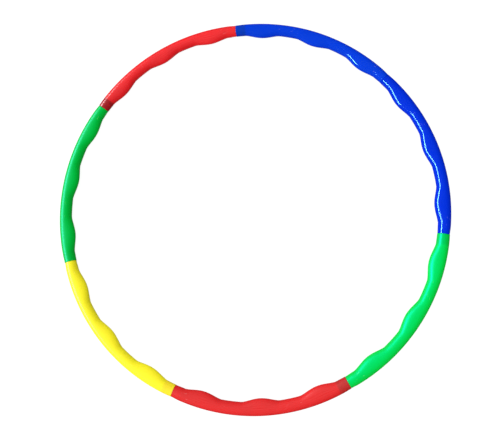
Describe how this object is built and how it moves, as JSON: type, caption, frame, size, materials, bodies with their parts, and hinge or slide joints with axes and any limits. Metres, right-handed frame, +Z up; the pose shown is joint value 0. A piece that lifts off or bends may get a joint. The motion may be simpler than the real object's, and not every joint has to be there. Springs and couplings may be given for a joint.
{
  "type": "sectional exercise hoop",
  "caption": "Knock-down exercise hoop of coloured hollow plastic sections that plug into each other, with waves on the inner side and spring-button locks.",
  "frame": {"origin": "centre of the ring, where every seam is equally far away, on the plane that the hoop lies on", "axes": "+Z up, square to the ring; -Y through the middle of the first red section, +Y through the seam between the second blue section and the second red section"},
  "size_m": [0.6492, 0.6485, 0.0195],
  "materials": {
    "red_plastic": "blow-moulded polyethylene, glossy red",
    "green_plastic": "blow-moulded polyethylene, glossy green",
    "blue_plastic": "blow-moulded polyethylene, glossy blue",
    "yellow_plastic": "blow-moulded polyethylene, glossy yellow",
    "clip_plastic": "injection-moulded acetal, off-white"
  },
  "bodies": {
    "section_1": {"hoop_section_1": "red_plastic", "lock_clip_1": "clip_plastic"},
    "button_1": {"lock_button_1": "clip_plastic"},
    "section_2": {"hoop_section_2": "green_plastic", "lock_clip_2": "clip_plastic"},
    "button_2": {"lock_button_2": "clip_plastic"},
    "section_3": {"hoop_section_3": "blue_plastic", "lock_clip_3": "clip_plastic"},
    "button_3": {"lock_button_3": "clip_plastic"},
    "section_4": {"hoop_section_4": "blue_plastic", "lock_clip_4": "clip_plastic"},
    "button_4": {"lock_button_4": "clip_plastic"},
    "section_5": {"hoop_section_5": "red_plastic", "lock_clip_5": "clip_plastic"},
    "button_5": {"lock_button_5": "clip_plastic"},
    "section_6": {"hoop_section_6": "green_plastic", "lock_clip_6": "clip_plastic"},
    "button_6": {"lock_button_6": "clip_plastic"},
    "section_7": {"hoop_section_7": "yellow_plastic", "lock_clip_7": "clip_plastic"},
    "button_7": {"lock_button_7": "clip_plastic"}
  },
  "joints": [
    {"name": "pull_2", "type": "slide", "parent": "section_1", "child": "section_2", "axis": [0.901, 0.4339, 0], "range_m": [0, 0.024]},
    {"name": "pull_3", "type": "slide", "parent": "section_2", "child": "section_3", "axis": [0.2225, 0.9749, 0], "range_m": [0, 0.024]},
    {"name": "pull_4", "type": "slide", "parent": "section_3", "child": "section_4", "axis": [-0.6235, 0.7818, 0], "range_m": [0, 0.024]},
    {"name": "pull_5", "type": "slide", "parent": "section_4", "child": "section_5", "axis": [-1, 0, 0], "range_m": [0, 0.024]},
    {"name": "pull_6", "type": "slide", "parent": "section_5", "child": "section_6", "axis": [-0.6235, -0.7818, 0], "range_m": [0, 0.024]},
    {"name": "pull_7", "type": "slide", "parent": "section_6", "child": "section_7", "axis": [0.2225, -0.9749, 0], "range_m": [0, 0.024]},
    {"name": "press_1", "type": "hinge", "parent": "section_1", "child": "button_1", "pos_m": [-0.12759, -0.29261, 0.00975], "axis": [0, 0, -1], "range_deg": [0, 6], "stiffness_Nm_per_rad": 0.5, "springref_deg": -2.86, "deforming": ["lock_button_1"]},
    {"name": "press_2", "type": "hinge", "parent": "section_2", "child": "button_2", "pos_m": [0.14922, -0.2822, 0.00975], "axis": [0, 0, -1], "range_deg": [0, 6], "stiffness_Nm_per_rad": 0.5, "springref_deg": -2.86, "deforming": ["lock_button_2"]},
    {"name": "press_3", "type": "hinge", "parent": "section_3", "child": "button_3", "pos_m": [0.31367, -0.05928, 0.00975], "axis": [0, 0, -1], "range_deg": [0, 6], "stiffness_Nm_per_rad": 0.5, "springref_deg": -2.86, "deforming": ["lock_button_3"]},
    {"name": "press_4", "type": "hinge", "parent": "section_4", "child": "button_4", "pos_m": [0.24192, 0.20827, 0.00975], "axis": [0, 0, -1], "range_deg": [0, 6], "stiffness_Nm_per_rad": 0.5, "springref_deg": -2.86, "deforming": ["lock_button_4"]},
    {"name": "press_5", "type": "hinge", "parent": "section_5", "child": "button_5", "pos_m": [-0.012, 0.31899, 0.00975], "axis": [0, 0, -1], "range_deg": [0, 6], "stiffness_Nm_per_rad": 0.5, "springref_deg": -2.86, "deforming": ["lock_button_5"]},
    {"name": "press_6", "type": "hinge", "parent": "section_6", "child": "button_6", "pos_m": [-0.25688, 0.18951, 0.00975], "axis": [0, 0, -1], "range_deg": [0, 6], "stiffness_Nm_per_rad": 0.5, "springref_deg": -2.86, "deforming": ["lock_button_6"]},
    {"name": "press_7", "type": "hinge", "parent": "section_7", "child": "button_7", "pos_m": [-0.30833, -0.08268, 0.00975], "axis": [0, 0, -1], "range_deg": [0, 6], "stiffness_Nm_per_rad": 0.5, "springref_deg": -2.86, "deforming": ["lock_button_7"]}
  ],
  "couplings": [
    {"joint": "pull_3", "follows": "pull_2", "ratio": 1},
    {"joint": "pull_4", "follows": "pull_2", "ratio": 1},
    {"joint": "pull_5", "follows": "pull_2", "ratio": 1},
    {"joint": "pull_6", "follows": "pull_2", "ratio": 1},
    {"joint": "pull_7", "follows": "pull_2", "ratio": 1}
  ]
}
